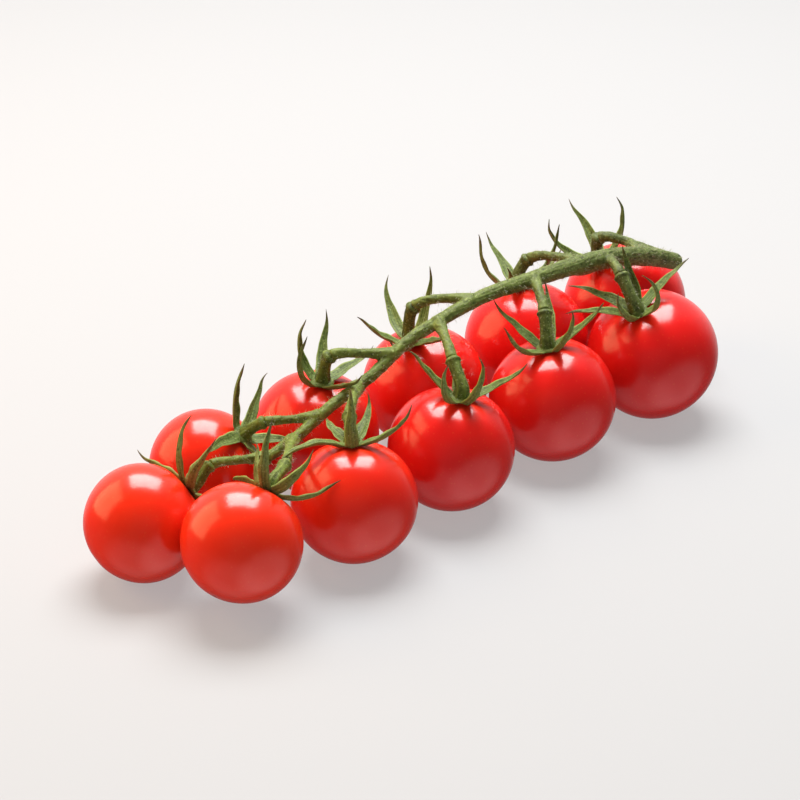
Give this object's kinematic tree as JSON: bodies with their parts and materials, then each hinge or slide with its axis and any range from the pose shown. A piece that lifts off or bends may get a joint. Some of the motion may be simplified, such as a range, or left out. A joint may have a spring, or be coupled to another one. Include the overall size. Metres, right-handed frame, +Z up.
{
  "type": "truss of cherry tomatoes",
  "caption": "Picked truss of round ripe red cherry tomatoes on an arching green stem, each fruit with a star of curling sepals, lying on a flat surface.",
  "frame": {"origin": "middle of the base, on the surface the truss lies on", "axes": "+X from the tip of the truss to its cut end, +Y towards the back row of fruit, +Z up"},
  "size_m": [0.2022, 0.0684, 0.0476],
  "materials": {
    "skin": "glossy",
    "stem": "matte",
    "leaf": "matte"
  },
  "bodies": {
    "root": {"truss_stem": "stem", "tomato_01": "skin", "calyx_01": "leaf", "stalk_01": "stem", "tomato_02": "skin", "calyx_02": "leaf", "stalk_02": "stem", "tomato_03": "skin", "calyx_03": "leaf", "stalk_03": "stem", "tomato_04": "skin", "calyx_04": "leaf", "stalk_04": "stem", "tomato_05": "skin", "calyx_05": "leaf", "stalk_05": "stem", "tomato_06": "skin", "calyx_06": "leaf", "stalk_06": "stem", "tomato_07": "skin", "calyx_07": "leaf", "stalk_07": "stem", "tomato_08": "skin", "calyx_08": "leaf", "stalk_08": "stem", "tomato_09": "skin", "calyx_09": "leaf", "stalk_09": "stem", "tomato_10": "skin", "calyx_10": "leaf", "stalk_10": "stem", "tomato_11": "skin", "calyx_11": "leaf", "stalk_11": "stem"}
  },
  "joints": []
}
